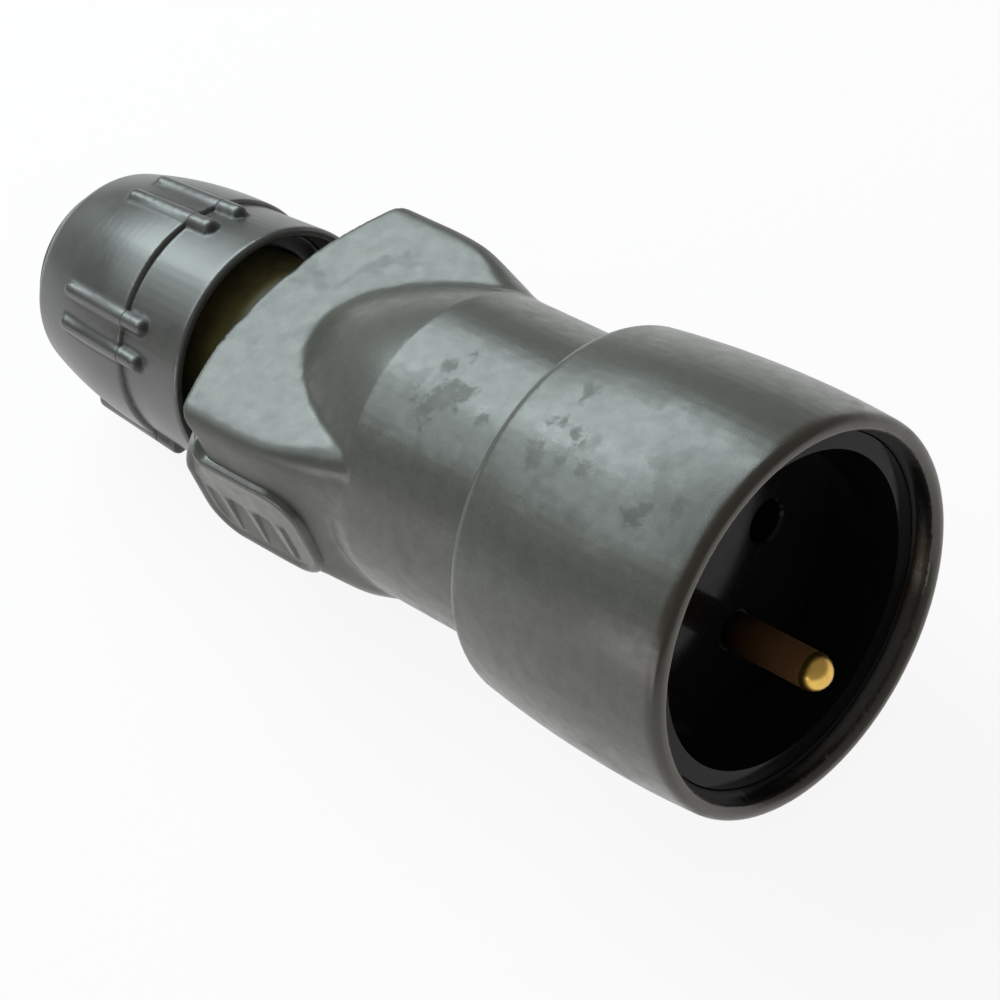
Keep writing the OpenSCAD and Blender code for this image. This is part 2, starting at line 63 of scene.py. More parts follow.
# Forms of the CAD solids that the finished skins follow, in axis millimetres
BLOCK_SIDE = 21.2       # half width of the grip block
BLOCK_TOP = 13.5        # half height of the grip block
BLOCK_ROUND = 4.2       # nominal round between its flats and its sides
UPPER_ROUND = 2.4       # finished round at its upper flat
LOWER_ROUND = 6.8       # finished round below the pads
FLANK_START, FLANK_ROUND = -75.0, 50.0      # the sides run in to the neck in a long curve
REAR_START, REAR_ROUND = -80.3, 4.0         # and to the rear in a short one
PAD_ZONE = -63.5        # the nominal pads lie behind this
RIB_PITCH = 72.0        # degrees from one pair of the nut's ribs to the next
RIB_TURN = 18.0         # degrees from across to the first pair
RIB_SPREAD = 8.3        # degrees from a pair's middle to each rib
RIB_FRONT, RIB_REAR = -101.1, -116.5        # ends of a rib's core line
RIB_RADIUS = 15.2       # the ribs lie farther than this from the axis
NUT_STEP = -104.35      # step between the nut's skirt and its dome

# The finished grip pad, a rounded rectangle in axis millimetres, first along and then across
PAD_MIDDLE = np.array((-76.5, 2.2))
PAD_HALF = np.array((10.9, 8.2))
PAD_POINTS = (145, 109)
PAD_ROUND = 5.4         # radius of its corners
PAD_BACK = 17.0         # distance of its hidden back from the axis
LOUVRE_PITCH = 5.1      # from one finger rib to the next
LOUVRE_START = -80.7    # rear edge of one of the louvres

# A finished mesh keeps at most this many triangles. A mesh with over 200,000 triangles
# would be thinned on export
MOST_TRIANGLES = 190000


def linear(hex_colour):
    """An sRGB hex colour as linear red, green, blue."""
    parts = [int(hex_colour[i:i + 2], 16) / 255 for i in (1, 3, 5)]
    return tuple(v / 12.92 if v <= 0.04045 else ((v + 0.055) / 1.055) ** 2.4 for v in parts)


def colour_prop(name, description, hex_colour):
    return FloatVectorProperty(name=name, description=description, subtype="COLOR", size=3,
                               min=0.0, max=1.0, default=linear(hex_colour))


def length_prop(name, description, mm):
    return FloatProperty(name=name, description=description, subtype="DISTANCE", unit="LENGTH",
                         default=mm * MM, min=0.0, precision=5)


class SOCKET_PG_sizes(bpy.types.PropertyGroup):
    """Sizes that a user would change."""
    rubber_depth: IntProperty(
        name="Rubber mesh", description="Fineness of the housing's even mesh", default=8, min=6, max=9)
    nut_depth: IntProperty(
        name="Nut mesh", description="Fineness of the nut's even mesh", default=7, min=6, max=8)
    crease_passes: IntProperty(
        name="Crease softness", description="Smoothing passes in the housing's hollows",
        default=34, min=0, max=200)
    edge_passes: IntProperty(
        name="Edge softness", description="Smoothing passes on the housing's edges",
        default=4, min=0, max=50)
    nut_passes: IntProperty(
        name="Nut softness", description="Smoothing passes on the nut", default=5, min=0, max=50)
    rim_set: length_prop("Rim set back", "How far the soft rim stands behind its nominal plane", 0.8)
    pad_bead: length_prop("Pad bead", "Radius of the bead round each grip pad", 1.1)
    rib_lift: length_prop("Rib lift", "Extra height of the moulded ribs on the nut", 0.3)
    bloom_patch: length_prop("Bloom patch", "Size of the pale patches on the rubber", 7.0)
    key_power: FloatProperty(
        name="Key light", description="Power of the softbox behind the socket",
        unit="POWER", default=5.7, min=0.0)
    fill_power: FloatProperty(
        name="Fill light", description="Power of the low light at the socket's side",
        unit="POWER", default=2.0, min=0.0)
    room_level: FloatProperty(
        name="Room light", description="Strength of the even light from all round",
        default=0.30, min=0.0)
    lens: FloatProperty(
        name="Lens", description="Focal length of the camera in millimetres", default=115.2, min=10.0)


class SOCKET_PG_colours(bpy.types.PropertyGroup):
    """Colours that a user would change."""
    rubber: colour_prop("Rubber", "Grey rubber of the housing", "#40413c")
    bloom: colour_prop("Bloom", "Pale bloom on the rubber", "#5b5d57")
    rim: colour_prop("Rim", "Brown dirt on the rim's rounded edge", "#2c261c")
    rim_face: colour_prop("Rim face", "Brownish rubber handled at the rim", "#4b4539")
    # this colour is also painted into the housing's bore as shade
    insert: colour_prop("Insert", "Black plastic of the socket insert", "#151414")
    nut: colour_prop("Nut", "Dark grey plastic of the gland nut", "#333534")
    # colour of the nut's painted shade beside its ribs, on their front ends and in its step
    painted_shade: colour_prop("Grime", "Dirt beside the nut's ribs", "#141513")
    spigot: colour_prop("Spigot", "Olive plastic of the gland spigot", "#5c5734")
    seal: colour_prop("Seal", "Black rubber of the grommet", "#1c1c1b")
    brass: colour_prop("Brass", "Machined brass of the contacts", "#c79a4e")
    pin: colour_prop("Pin", "Polished brass of the pin's tip", "#eec465")
    tarnish: colour_prop("Tarnish", "Copper-brown of the pin's shaft", "#8d6440")
    # colour of the pin's shaft near its foot, painted dark as shade deep in the well
    foot_shade: colour_prop("Deep tarnish", "Dark brown of the pin's shaft near its foot", "#1a130d")
    steel: colour_prop("Steel", "Zinc-plated steel", "#a9adb0")
    floor: colour_prop("Floor", "Pale floor", "#f4f4f4")
    key: colour_prop("Key light", "Cool daylight of the softbox", "#eeffff")
    room: colour_prop("Room light", "Warm light from all round", "#fffbf6")


def sizes():
    return bpy.context.scene.socket_sizes


def colours():
    return bpy.context.scene.socket_colours


# Meshes

def only(piece):
    """Selects one object alone and makes it active."""
    bpy.ops.object.select_all(action="DESELECT")
    piece.select_set(True)
    bpy.context.view_layer.objects.active = piece


def merged_copy(node, name):
    """A copy of a CAD node's mesh with its doubles merged, at the origin."""
    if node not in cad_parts:
        raise RuntimeError(f"the frame has no node named {node}")
    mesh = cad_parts[node].data.copy()
    mesh.materials.clear()
    piece = bpy.data.objects.new(name, mesh)
    mesh.name = name
    bpy.context.scene.collection.objects.link(piece)
    only(piece)
    bpy.ops.object.mode_set(mode="EDIT")
    bpy.ops.mesh.customdata_custom_splitnormals_clear()
    bpy.ops.mesh.select_all(action="SELECT")
    bpy.ops.mesh.remove_doubles(threshold=0.004 * MM)
    bpy.ops.object.mode_set(mode="OBJECT")
    return piece


def apply_modifier(piece, name, kind, **settings):
    """Adds a modifier and applies it at once."""
    only(piece)
    modifier = piece.modifiers.new(name, kind)
    for key, value in settings.items():
        setattr(modifier, key, value)
    bpy.ops.object.modifier_apply(modifier=modifier.name)


def even_copy(node, name, depth):
    """A copy of a CAD node with an even mesh, fine enough to be shaped."""
    skin = merged_copy(node, name)
    apply_modifier(skin, "even mesh", "REMESH", mode="SHARP", octree_depth=depth, scale=0.99,
                   sharpness=1.0, use_remove_disconnected=False)
    return skin


def smooth(piece, name, passes, group=""):
    """Relaxes a mesh, all over or where a vertex group says."""
    apply_modifier(piece, name, "SMOOTH", factor=0.5, iterations=passes, vertex_group=group)


def thin_out(piece):
    """Collapses an even mesh where it is flat or round, to at most MOST_TRIANGLES."""
    count = sum(len(face.vertices) - 2 for face in piece.data.polygons)
    if count > MOST_TRIANGLES:
        apply_modifier(piece, "thinner mesh", "DECIMATE", ratio=MOST_TRIANGLES / count)


def points_of(mesh):
    """Vertex places in metres."""
    out = np.empty(len(mesh.vertices) * 3)
    mesh.vertices.foreach_get("co", out)
    return out.reshape(-1, 3)


def axis_points(mesh):
    """Vertex places in axis coordinates, in millimetres: across, side, along."""
    return (points_of(mesh) - np.array(MOUTH)) @ TO_AXES * 1000


def move_points(mesh, place):
    """Puts the vertices at new axis coordinates, in millimetres."""
    world = np.array(MOUTH) + place @ FROM_AXES * MM
    mesh.vertices.foreach_set("co", world.ravel())
    mesh.update()


def fade(values, start, stop):
    """0 at start and 1 at stop, eased at both ends."""
    t = np.clip((values - start) / (stop - start), 0, 1)
    return t * t * (3 - 2 * t)


def neighbour_mean(values, edges):
    """For each vertex, the mean of its neighbours' values."""
    total = np.zeros_like(values)
    count = np.zeros(len(values))
    for a, b in ((0, 1), (1, 0)):
        np.add.at(total, edges[:, a], values[edges[:, b]])
        np.add.at(count, edges[:, a], 1)
    return total / (count[:, None] if values.ndim > 1 else count)


def hollows(mesh, spread):
    """How much each vertex lies in an inward fold, 0 to 1, spread over its neighbours."""
    points = points_of(mesh)
    edges = np.empty(len(mesh.edges) * 2, np.int32)
    mesh.edges.foreach_get("vertices", edges)
    edges = edges.reshape(-1, 2)
    normals = np.empty(len(points) * 3)
    mesh.vertices.foreach_get("normal", normals)
    # a fold counts from a pull of 0.01 mm by its neighbours, and in full from 0.04 mm
    pull = neighbour_mean(points, edges) - points
    fold = np.clip((pull * normals.reshape(-1, 3)).sum(1) / (0.03 * MM) - 0.3, 0, 1)
    for _ in range(spread):
        fold = np.clip(neighbour_mean(fold, edges) * 1.25, 0, 1)
    return fold


def surface_layer(mesh, name, values):
    """Stores a number for each vertex, which a material reads by its name."""
    layer = mesh.attributes.new(name, "FLOAT", "POINT")
    layer.data.foreach_set("value", values.astype(np.float32))


def weight_group(piece, name, weights):
    """A vertex group with weights in tenths."""
    group = piece.vertex_groups.new(name=name)
    for level in range(1, 11):
        found = np.flatnonzero(np.round(weights * 10) == level)
        if len(found):
            group.add(found.tolist(), level / 10, "REPLACE")


def settle(piece, build, angle):
    """Gives a finished piece its shading, its body and its material."""
    only(piece)
    bpy.ops.object.shade_smooth_by_angle(angle=math.radians(angle))
    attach(piece, "root")
    piece.data.materials.clear()
    piece.data.materials.append(finish(build))


def finish_node(node, name, build):
    """A CAD solid whose shape is right, merged so that its round faces shade round."""
    piece = merged_copy(node, name)
    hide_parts(node)
    settle(piece, build, 35)


# Shapes that the soft rubber and the moulded nut take over their nominal solids

def crease_weights(mesh):
    """Where the housing's outside is filleted: in its hollows, and at the flats' front tips."""
    place = axis_points(mesh)
    across, side, along = np.abs(place[:, 0]), np.abs(place[:, 1]), place[:, 2]
    radius = np.hypot(across, side)
    outside = (radius > 12.0) & (along < -36.6) & (along > -88.6)
    inside_neck = (radius < 19.5) & (along > -62)
    fold = hollows(mesh, 7) * (outside & ~inside_neck)
    fold[(side > 17.4) & (along < PAD_ZONE) & (across < 9.5)] = 0
    tip = fade(along, -71.0, -66.0) * (1 - fade(along, -58.0, -53.0)) * fade(side, 10.0, 13.0)
    return np.maximum(fold, tip * fade(across, 2.0, 5.0) * (1 - fade(across, 10.5, 12.5)))


def soften_rim(place, amount):
    """The rim stands a little behind its nominal plane, and its bore opens towards it by 0.8 mm."""
    radius = np.hypot(place[:, 0], place[:, 1])
    flare = 0.8 * fade(place[:, 2], -3.6, -0.2) * (1 - fade(radius, 22.5, 24.6)) * (radius > 20)
    place[:, :2] *= (1 + flare / np.maximum(radius, 1))[:, None]
    place[:, 2] -= amount * fade(place[:, 2], -12.0, -0.3)


def side_plan(along):
    """Half width of the grip block: rounded rear corner, straight side, long flank."""
    run = np.clip(along - FLANK_START, 0, 40)
    flank = BLOCK_SIDE - FLANK_ROUND + np.sqrt(FLANK_ROUND ** 2 - run ** 2)
    run = np.clip(REAR_START - along, 0, REAR_ROUND)
    corner = BLOCK_SIDE - REAR_ROUND + np.sqrt(np.maximum(REAR_ROUND ** 2 - run ** 2, 0))
    return np.minimum(flank, corner)


def block_reach(centre, bearings, corner):
    """Distance from centre to a quarter of the block's section, by bearing in degrees."""
    turn = np.radians(np.arange(0, 91, 3))
    arc = zip(BLOCK_SIDE - corner + corner * np.cos(turn), BLOCK_TOP - corner + corner * np.sin(turn))
    outline = [(BLOCK_SIDE, 0), *arc, (centre[0], BLOCK_TOP)]
    dense = np.concatenate([np.linspace(a, b, 60) for a, b in zip(outline[:-1], outline[1:])]) - centre
    return np.interp(bearings, np.degrees(np.arctan2(dense[:, 1], dense[:, 0])), np.hypot(*dense.T))


def reshape_corners(place):
    """Turns the block from its upper flat to its sides in a tighter round than its nominal one,
    and in a wider one below the pads."""
    centre = np.array((9.0, 2.0))
    bearings = np.linspace(0, 90, 361)
    rounds = (BLOCK_ROUND, UPPER_ROUND, LOWER_ROUND)
    nominal, tight, wide = (block_reach(centre, bearings, corner) for corner in rounds)
    side, height, along = np.abs(place[:, 1]), np.abs(place[:, 0]), place[:, 2]
    drop = BLOCK_SIDE - side_plan(np.maximum(along, REAR_START))
    rel = np.stack([side + drop, height], 1) - centre
    bearing = np.degrees(np.arctan2(rel[:, 1], rel[:, 0]))
    ratio = np.where(place[:, 0] < 0, np.interp(bearing, bearings, tight / nominal),
                     np.interp(bearing, bearings, wide / nominal))
    # only the outer shell moves, and the change fades out to the neck and to the rear face
    shell = fade(np.hypot(*rel.T) / np.interp(bearing, bearings, nominal), 0.78, 0.92)
    weight = shell * (1 - fade(along, -69.0, -60.0)) * fade(along, -87.5, -82.5) * (rel.min(1) > 0)
    ratio = 1 + (ratio - 1) * weight
    place[:, 1] = np.sign(place[:, 1]) * (centre[0] + rel[:, 0] * ratio - drop)
    place[:, 0] = np.sign(place[:, 0]) * (centre[1] + rel[:, 1] * ratio)


def flatten_pads(place):
    """Presses the nominal pads into the block's side, to make room for their finished pieces."""
    side, along = np.abs(place[:, 1]), place[:, 2]
    low = np.minimum(side, np.maximum(side_plan(along), 19.6) - 0.02)
    near = (side > 19.5) & (np.abs(place[:, 0]) < 9.0) & (along < PAD_ZONE)
    place[:, 1] = np.where(near, np.sign(place[:, 1]) * low, place[:, 1])


def pad_relief(across, along, edge, bead):
    """Height of a pad over the block's side: a narrow bead round three louvred finger ribs.
    edge is the distance to the outline, negative inside."""
    # the bead's crest is 1 mm high, the floor 0.66 mm and the ribs 0.92 mm
    crown = 1.0 - bead + np.sqrt(np.maximum(bead ** 2 - (edge + bead) ** 2, 0))
    # each louvre drops into a groove at its rear and climbs towards the mouth
    step = np.mod(along - LOUVRE_START, LOUVRE_PITCH)
    louvre = np.interp(step, (0, 0.45, 0.9, 4.7, LOUVRE_PITCH), (0.92, 0.05, 0.15, 0.92, 0.92))
    ribbed = fade(across, 0.9, 1.9) * fade(-along, 69.9, 70.5) * fade(edge, -2.4, -3.2)
    floor = 0.66 + (louvre - 0.66) * ribbed
    relief = np.where(edge > -bead, crown, np.maximum(crown, floor))
    # the pad stands proudest at its upper edge
    return relief - 0.06 * (across + 6.4)


def shape_pad(mesh, bead):
    """Turns a square grid into the left pad's face, its border sunk to the pad's hidden back."""
    flat = points_of(mesh)[:, :2] * PAD_HALF
    core = np.clip(flat, PAD_ROUND - PAD_HALF, PAD_HALF - PAD_ROUND)
    past = flat - core
    # the grid's square corners become round ones
    reach = np.abs(past).max(1)
    past *= (reach / np.maximum(np.hypot(*past.T), 1e-9))[:, None]
    edge = reach - PAD_ROUND
    along, across = (core + past + PAD_MIDDLE).T
    # the pad follows the block's flank by half
    height = BLOCK_SIDE - 0.5 * (BLOCK_SIDE - side_plan(np.maximum(along, -79.0)))
    height = height + pad_relief(across, along, edge, bead)
    # at the rear the bead sweeps up the block's corner and sinks into it
    rear = 1 - fade(along, -87.4, -81.5)
    across = across - 3.6 * rear * fade(across, 5.0, -5.0)
    height -= (BLOCK_SIDE - side_plan(along)) * rear * fade(across, -1.5, -8.5)
    move_points(mesh, np.stack([across, np.where(edge > -1e-6, PAD_BACK, height), along], 1))


def from_ribs(place):
    """Distance from the nearest rib's core line, and from the axis."""
    across, side, along = place.T
    radius = np.hypot(across, side)
    turn = np.degrees(np.arctan2(side, across)) - RIB_TURN
    turn = np.mod(turn + RIB_PITCH / 2, RIB_PITCH) - RIB_PITCH / 2
    beside = np.radians(np.abs(turn) - RIB_SPREAD) * radius
    beyond = np.maximum(np.maximum(along - RIB_FRONT, RIB_REAR - along), 0)
    return np.hypot(beside, beyond), radius


def lift_ribs(place, amount):
    """Raises the nut's ribs. The lowest ones keep their height, because the nut lies on them."""
    away, radius = from_ribs(place)
    above_bench = (MOUTH.z + (place[:, 0] * ACROSS.z + place[:, 2] * ALONG.z) * MM) / MM
    lift = amount * (1 - fade(away, 0.85, 1.4)) * fade(above_bench, 0.4, 2.5)
    place[:, :2] *= (1 + lift * (radius > RIB_RADIUS) / np.maximum(radius, 1))[:, None]


def rib_shade(place):
    """Painted shade by the nut's ribs: at their feet and on their front ends."""
    away, radius = from_ribs(place)
    foot = np.exp(-((away - 1.35) / 0.28) ** 2)
    nose = fade(place[:, 2], RIB_FRONT + 0.1, RIB_FRONT + 0.8) * (1 - fade(away, 1.1, 1.5))
    return np.clip(foot * 0.8 + nose, 0, 1) * (radius > RIB_RADIUS)


# Materials

def finish(build):
    """The material that a function builds, made once, shared, and named as the function is."""
    material = bpy.data.materials.get(build.__name__)
    if material is None:
        material = bpy.data.materials.new(build.__name__)
        material.use_nodes = True
        material.node_tree.nodes.clear()
        build(material.node_tree)
    return material


def add_node(tree, kind, settings=None, links=None):
    """A node with its settings, and its inputs linked to an output or to a node's first live output."""
    made = tree.nodes.new("ShaderNode" + kind)
    for key, value in (settings or {}).items():
        if isinstance(key, int) or key in made.inputs:
            made.inputs[key].default_value = value
        else:
            setattr(made, key, value)
    for key, source in (links or {}).items():
        if not isinstance(source, bpy.types.NodeSocket):
            source = next(output for output in source.outputs if output.enabled)
        tree.links.new(source, made.inputs[key])
    return made


def rgba(colour):
    return (*colour, 1.0)


def along_axis(tree, place):
    """Distance along the socket's axis from the rim, in metres, negative behind it."""
    rel = add_node(tree, "VectorMath", {"operation": "SUBTRACT", 1: tuple(MOUTH)}, {0: place})
    return add_node(tree, "VectorMath", {"operation": "DOT_PRODUCT", 1: tuple(ALONG)}, {0: rel})


def from_axis(tree, place):
    """Distance from the socket's axis, in metres."""
    rel = add_node(tree, "VectorMath", {"operation": "SUBTRACT", 1: tuple(MOUTH)}, {0: place})
    square = add_node(tree, "VectorMath", {"operation": "CROSS_PRODUCT", 1: tuple(ALONG)}, {0: rel})
    return add_node(tree, "VectorMath", {"operation": "LENGTH"}, {0: square})


# Centres of the spots where the bloom has rubbed off, in axis millimetres, and their radii
WORN_SPOTS = (
    (-19.6, -6.0, -47.0, 2.3), (-19.0, -8.0, -49.0, 1.9), (-20.1, -4.3, -45.5, 1.5),
    (-20.4, -2.1, -49.5, 1.0), (-20.5, -0.4, -47.5, 1.0), (-19.8, -5.3, -51.5, 0.9),
    (-19.5, -6.3, -40.5, 0.5), (-25.1, 0.0, -27.0, 1.2), (-24.4, -5.2, -28.5, 0.8),
    (-24.7, -4.8, -26.5, 0.6), (-24.7, -5.7, -24.0, 1.1), (-24.8, -5.7, -22.5, 0.7),
    (-24.0, -8.7, -20.5, 1.1), (-23.8, -8.7, -24.5, 1.3), (-23.4, -9.0, -28.0, 1.7),
    (-24.0, -9.2, -10.5, 1.4), (-24.2, -8.3, -6.5, 1.2), (-23.5, -10.5, -11.5, 1.3),
)


def worn_spots(tree, place):
    """1 inside the spots of WORN_SPOTS, whose edges wander by about 1 mm over 3 mm, and 0 outside."""
    worn = None
    for across, side, along, radius in WORN_SPOTS:
        centre = MOUTH + (ACROSS * across + SIDE * side + ALONG * along) * MM
        gap = add_node(tree, "VectorMath", {"operation": "DISTANCE", 1: tuple(centre)}, {0: place})
        gap = add_node(tree, "Math", {"operation": "SUBTRACT", 1: radius * MM}, {0: gap})
        worn = gap if worn is None else add_node(tree, "Math", {"operation": "MINIMUM"}, {0: worn, 1: gap})
    wander = add_node(tree, "TexNoise", {"Scale": 420.0, "Detail": 5.0, "Roughness": 0.7, "Distortion": 0.3},
                      {"Vector": place})
    ragged = add_node(tree, "MapRange",
                      {"From Min": 0.3, "From Max": 0.7, "To Min": -0.0014, "To Max": 0.0018},
                      {"Value": wander})
    worn = add_node(tree, "Math", {"operation": "ADD"}, {0: worn, 1: ragged})
    return add_node(tree, "MapRange", {"From Min": 0.0005, "From Max": -0.0005}, {"Value": worn})


def bloomed_rubber(tree):
    """Moulded thermoplastic rubber: satin, with a pale bloom that has rubbed off in ragged spots,
    a fine sandy texture from the mould, brown handling marks round the rim, and painted shade that makes the
    bore behind the rim black."""
    c, s = colours(), sizes()
    place = add_node(tree, "TexCoord").outputs["Object"]
    along, radius = along_axis(tree, place), from_axis(tree, place)
    # the bloom is thin in the worn spots, in clouds about the patch size and on the block's sides, which
    # darkens them
    spots = worn_spots(tree, place)
    cloud = add_node(tree, "TexNoise", {"Scale": 1.0 / s.bloom_patch, "Detail": 3.0, "Roughness": 0.55,
                                        "Distortion": 0.3}, {"Vector": place})
    cloud = add_node(tree, "MapRange", {"From Min": 0.58, "From Max": 0.66, "To Max": 0.45}, {"Value": cloud})
    thin = add_node(tree, "Math", {"operation": "MAXIMUM"}, {0: spots, 1: cloud})
    thinned_sides = add_node(tree, "Attribute", {"attribute_name": "thinned_sides"}).outputs["Fac"]
    thin = add_node(tree, "Math", {"operation": "MAXIMUM"}, {0: thin, 1: thinned_sides})
    # mottling of 2 mm and flecks of 0.4 mm keep the grey from being flat
    mottle = add_node(tree, "TexNoise", {"Scale": 500.0, "Detail": 3.0, "Roughness": 0.6}, {"Vector": place})
    fleck = add_node(tree, "TexNoise", {"Scale": 2500.0, "Detail": 3.0, "Roughness": 0.6}, {"Vector": place})
    pale = add_node(tree, "MapRange", {"From Min": 0.3, "From Max": 0.7, "To Min": 0.05, "To Max": 0.35},
                    {"Value": fleck})
    patchy = add_node(tree, "MapRange", {"From Min": 0.35, "From Max": 0.65, "To Max": 0.4},
                      {"Value": mottle})
    pale = add_node(tree, "Math", {"operation": "ADD"}, {0: pale, 1: patchy})
    left = add_node(tree, "MapRange", {"To Min": 1.0, "To Max": 0.15}, {"Value": thin})
    pale = add_node(tree, "Math", {"operation": "MULTIPLY"}, {0: pale, 1: left})
    body = add_node(tree, "Mix", {"data_type": "RGBA", 6: rgba(c.rubber), 7: rgba(c.bloom)}, {0: pale})
    # the rim's rounded outer edge is browned, and its face a little less
    at_rim = add_node(tree, "MapRange", {"From Min": -0.0030, "From Max": -0.0022}, {"Value": along})
    on_face = add_node(tree, "MapRange", {"From Min": 0.0246, "From Max": 0.0243}, {"Value": radius})
    brown = add_node(tree, "Mix", {"data_type": "RGBA", 6: rgba(c.rim), 7: rgba(c.rim_face)}, {0: on_face})
    body = add_node(tree, "Mix", {"data_type": "RGBA"}, {0: at_rim, 6: body, 7: brown})
    # behind the rim the bore is painted black with the insert's colour as shade, and glossy
    within = add_node(tree, "MapRange", {"From Min": 0.0235, "From Max": 0.0230}, {"Value": radius})
    before = add_node(tree, "MapRange", {"From Min": -0.030, "From Max": -0.028}, {"Value": along})
    bore = add_node(tree, "Math", {"operation": "MULTIPLY"}, {0: within, 1: before})
    body = add_node(tree, "Mix", {"data_type": "RGBA", 7: rgba(c.insert)}, {0: bore, 6: body})
    rough = add_node(tree, "MapRange", {"To Min": 0.30, "To Max": 0.47}, {"Value": thin})
    uneven = add_node(tree, "MapRange", {"From Min": 0.35, "From Max": 0.65, "To Min": 0.03, "To Max": -0.03},
                      {"Value": mottle})
    rough = add_node(tree, "Math", {"operation": "ADD"}, {0: rough, 1: uneven})
    gloss = add_node(tree, "MapRange", {"To Min": 1.0, "To Max": 0.6}, {"Value": bore})
    rough = add_node(tree, "Math", {"operation": "MULTIPLY"}, {0: rough, 1: gloss})
    # mould texture 0.25 mm across, and hand marks a few millimetres wide
    sand = add_node(tree, "TexNoise", {"Scale": 4000.0, "Detail": 2.0, "Roughness": 0.6}, {"Vector": place})
    wave = add_node(tree, "TexNoise", {"Scale": 180.0, "Detail": 2.0, "Roughness": 0.5}, {"Vector": place})
    height = add_node(tree, "Math", {"operation": "MULTIPLY_ADD", 1: 6.0}, {0: wave, 2: sand})
    bump = add_node(tree, "Bump", {"Strength": 0.25, "Distance": 0.00004}, {"Height": height})
    shader = add_node(tree, "BsdfPrincipled", {"IOR": 1.5, "Specular IOR Level": 0.7},
                      {"Base Color": body, "Roughness": rough, "Normal": bump})
    add_node(tree, "OutputMaterial", None, {"Surface": shader})


def glossy_black_plastic(tree):
    """Injection-moulded black thermoset: glossy, near black, with faint flow lines and dust."""
    c = colours()
    place = add_node(tree, "TexCoord").outputs["Object"]
    flow = add_node(tree, "TexNoise", {"Scale": 220.0, "Detail": 4.0, "Roughness": 0.6}, {"Vector": place})
    dust = add_node(tree, "TexNoise", {"Scale": 3200.0, "Detail": 2.0, "Roughness": 0.5}, {"Vector": place})
    rough = add_node(tree, "MapRange", {"From Min": 0.3, "From Max": 0.7, "To Min": 0.07, "To Max": 0.16},
                     {"Value": flow})
    dusty = add_node(tree, "MapRange", {"From Min": 0.60, "From Max": 0.75, "To Max": 0.25}, {"Value": dust})
    body = add_node(tree, "Mix", {"data_type": "RGBA", 6: rgba(c.insert), 7: rgba(c.rubber)}, {0: dusty})
    bump = add_node(tree, "Bump", {"Strength": 0.2, "Distance": 0.00003}, {"Height": flow})
    shader = add_node(tree, "BsdfPrincipled", {"IOR": 1.5, "Specular IOR Level": 0.12},
                      {"Base Color": body, "Roughness": rough, "Normal": bump})
    add_node(tree, "OutputMaterial", None, {"Surface": shader})


def satin_polyamide(tree):
    """Moulded polyamide: satin dark grey with a soft sheen and slight flow mottling, with painted shade by
    the ribs and in the step.
    """
    c = colours()
    place = add_node(tree, "TexCoord").outputs["Object"]
    flow = add_node(tree, "TexNoise", {"Scale": 130.0, "Detail": 4.0, "Roughness": 0.6}, {"Vector": place})
    grain = add_node(tree, "TexNoise", {"Scale": 3500.0, "Detail": 2.0, "Roughness": 0.6}, {"Vector": place})
    pale = add_node(tree, "MapRange", {"From Min": 0.3, "From Max": 0.7, "To Max": 0.3}, {"Value": flow})
    body = add_node(tree, "Mix", {"data_type": "RGBA", 6: rgba(c.nut), 7: rgba(c.bloom)}, {0: pale})
    # painted shade lies beside the ribs, on their front ends and in the step, 0.4 mm wide
    step = add_node(tree, "Math", {"operation": "ADD", 1: -NUT_STEP * MM}, {0: along_axis(tree, place)})
    step = add_node(tree, "Math", {"operation": "ABSOLUTE"}, {0: step})
    step = add_node(tree, "MapRange", {"From Min": 0.00022, "From Max": 0.00008}, {"Value": step})
    beside = add_node(tree, "Attribute", {"attribute_name": "painted_shade"}).outputs["Fac"]
    painted_shade = add_node(tree, "Math", {"operation": "MAXIMUM"}, {0: beside, 1: step})
    body = add_node(tree, "Mix", {"data_type": "RGBA", 7: rgba(c.painted_shade)}, {0: painted_shade, 6: body})
    rough = add_node(tree, "MapRange", {"From Min": 0.3, "From Max": 0.7, "To Min": 0.27, "To Max": 0.36},
                     {"Value": flow})
    matt = add_node(tree, "Math", {"operation": "MULTIPLY", 1: 0.35}, {0: painted_shade})
    rough = add_node(tree, "Math", {"operation": "ADD"}, {0: rough, 1: matt})
    bump = add_node(tree, "Bump", {"Strength": 0.2, "Distance": 0.00003}, {"Height": grain})
    shader = add_node(tree, "BsdfPrincipled", {"IOR": 1.5, "Specular IOR Level": 1.0},
                      {"Base Color": body, "Roughness": rough, "Normal": bump})
    add_node(tree, "OutputMaterial", None, {"Surface": shader})


def olive_moulded_plastic(tree):
    """Moulded plastic of the gland: olive-brown and slightly greasy."""
    c = colours()
    place = add_node(tree, "TexCoord").outputs["Object"]
    cloud = add_node(tree, "TexNoise", {"Scale": 260.0, "Detail": 4.0, "Roughness": 0.6}, {"Vector": place})
    grease = add_node(tree, "MapRange", {"From Min": 0.35, "From Max": 0.7, "To Max": 0.6}, {"Value": cloud})
    body = add_node(tree, "Mix", {"data_type": "RGBA", 6: rgba(c.spigot), 7: rgba(c.seal)}, {0: grease})
    rough = add_node(tree, "MapRange", {"From Min": 0.3, "From Max": 0.7, "To Min": 0.34, "To Max": 0.55},
                     {"Value": cloud})
    bump = add_node(tree, "Bump", {"Strength": 0.3, "Distance": 0.00005}, {"Height": cloud})
    shader = add_node(tree, "BsdfPrincipled", {"IOR": 1.5},
                      {"Base Color": body, "Roughness": rough, "Normal": bump})
    add_node(tree, "OutputMaterial", None, {"Surface": shader})


